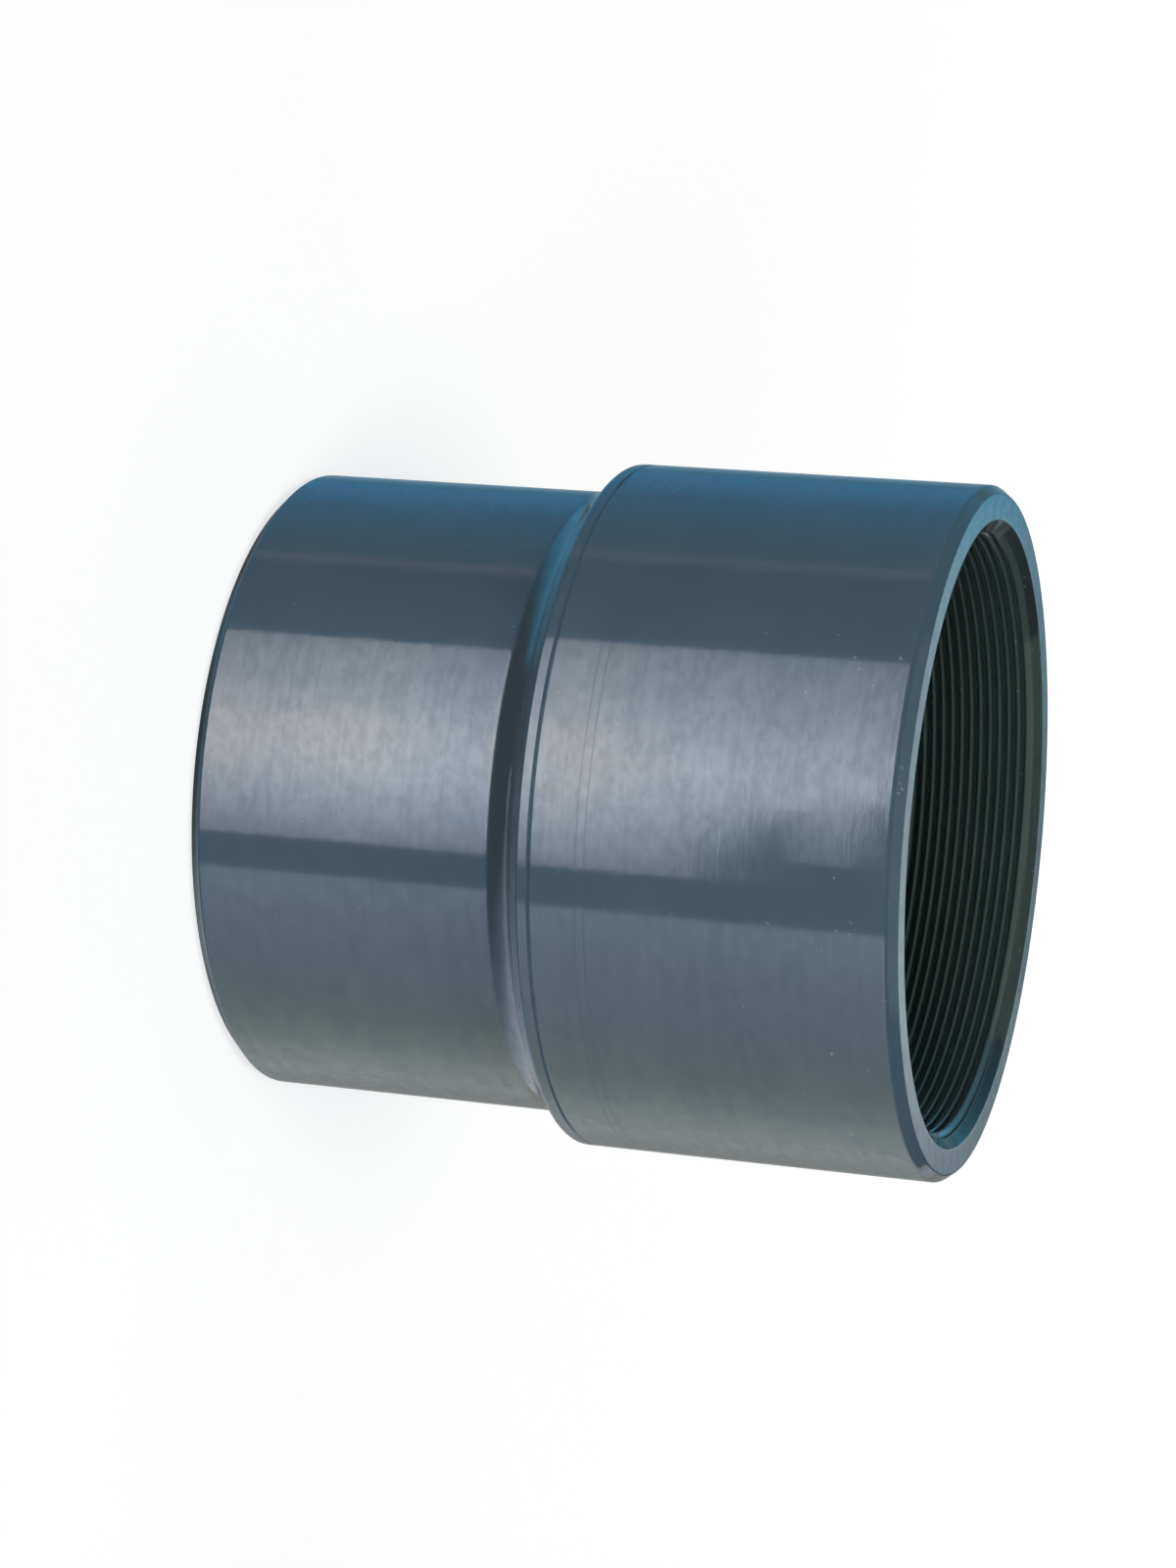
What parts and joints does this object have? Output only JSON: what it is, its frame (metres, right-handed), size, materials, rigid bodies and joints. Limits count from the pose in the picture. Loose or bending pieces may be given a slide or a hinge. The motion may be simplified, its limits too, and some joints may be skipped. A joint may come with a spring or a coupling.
{
  "type": "pvc adapter socket",
  "caption": "Straight plastic pipe adapter with a plain solvent-weld socket on one end and a larger female-threaded socket on the other.",
  "frame": {"origin": "centre of the plain end's face, on the bore axis, where the fitting stands", "axes": "+Z along the bore axis, from the plain socket up to the threaded mouth; X and Y are any two directions across it"},
  "size_m": [0.158, 0.158, 0.163],
  "materials": {
    "pvc": "semi-gloss dark blue-grey, fine turning marks"
  },
  "bodies": {
    "root": {"adapter_body": "pvc"}
  },
  "joints": []
}
